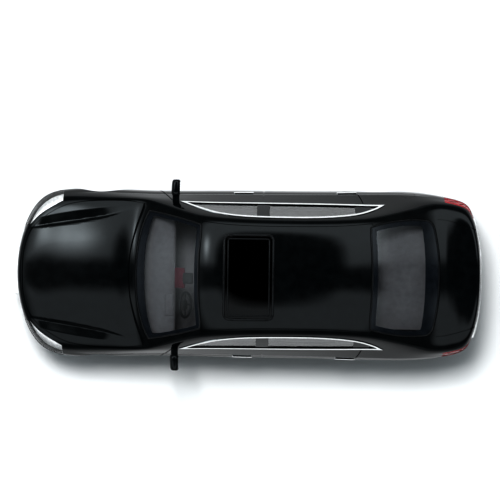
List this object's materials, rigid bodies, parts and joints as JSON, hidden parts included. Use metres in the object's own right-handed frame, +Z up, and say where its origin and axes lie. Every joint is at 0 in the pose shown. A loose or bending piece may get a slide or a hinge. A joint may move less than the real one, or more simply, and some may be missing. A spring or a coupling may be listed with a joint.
{
  "type": "diecast model car",
  "caption": "Small diecast saloon car with glazed cabin, seats and dashboard inside, and two free-rolling axles.",
  "frame": {"origin": "on the ground under the middle of the car, where the tyres stand", "axes": "+X towards the rear of the car, +Y towards the car's right side, +Z up"},
  "size_m": [0.0824, 0.0332, 0.023],
  "materials": {
    "black_paint": "deep gloss black enamel over a zinc casting",
    "black_plastic": "moulded black plastic with a fine satin texture",
    "cabin_plastic": "moulded dark grey plastic, satin",
    "seat_plastic": "moulded warm brown-grey plastic with a leather-like grain",
    "clear_glazing": "polished clear acrylic",
    "tinted_glazing": "dark tinted clear acrylic",
    "bright_trim": "bright foil and vacuum-plated plastic",
    "red_lens": "translucent red plastic, polished",
    "white_plate": "plain white printed plate with no lettering",
    "steel": "plain drawn steel",
    "wheel_plating": "satin silver plating on plastic",
    "tyre_rubber": "soft matt black rubber"
  },
  "bodies": {
    "car": {"body_shell": "black_paint", "chassis_base": "black_plastic", "interior_tub": "cabin_plastic", "dashboard": "cabin_plastic", "steering_wheel": "black_plastic", "rear_seat": "seat_plastic", "front_seat_left": "seat_plastic", "front_seat_right": "seat_plastic", "windscreen": "clear_glazing", "rear_window": "clear_glazing", "side_glass_left": "clear_glazing", "side_glass_right": "clear_glazing", "sunroof_panel": "tinted_glazing", "sunroof_seal": "black_plastic", "window_trim_left": "bright_trim", "window_trim_right": "bright_trim", "headlamp_lens_left": "clear_glazing", "headlamp_lens_right": "clear_glazing", "headlamp_reflector_left": "bright_trim", "headlamp_reflector_right": "bright_trim", "tail_lamp_left": "red_lens", "tail_lamp_right": "red_lens", "grille_insert": "bright_trim", "lower_intake_grille": "black_plastic", "rear_diffuser": "black_plastic", "boot_trim_strip": "bright_trim", "number_plate_front": "white_plate", "number_plate_rear": "white_plate", "rear_view_mirror": "black_plastic", "mirror_left": "black_paint", "mirror_right": "black_paint", "mirror_glass_left": "bright_trim", "mirror_glass_right": "bright_trim", "exhaust_tip_left": "bright_trim", "exhaust_tip_right": "bright_trim", "chassis_screw_front": "steel", "chassis_screw_rear": "steel"},
    "front_axle": {"front_axle_pin": "steel", "front_wheel_left": "wheel_plating", "front_wheel_right": "wheel_plating", "front_tyre_left": "tyre_rubber", "front_tyre_right": "tyre_rubber"},
    "rear_axle": {"rear_axle_pin": "steel", "rear_wheel_left": "wheel_plating", "rear_wheel_right": "wheel_plating", "rear_tyre_left": "tyre_rubber", "rear_tyre_right": "tyre_rubber"}
  },
  "joints": [
    {"name": "front_axle_spin", "type": "hinge", "parent": "car", "child": "front_axle", "pos_m": [-0.0262, 0, 0.0055], "axis": [0, 1, 0], "continuous": true},
    {"name": "rear_axle_spin", "type": "hinge", "parent": "car", "child": "rear_axle", "pos_m": [0.0225, 0, 0.0055], "axis": [0, 1, 0], "continuous": true}
  ]
}
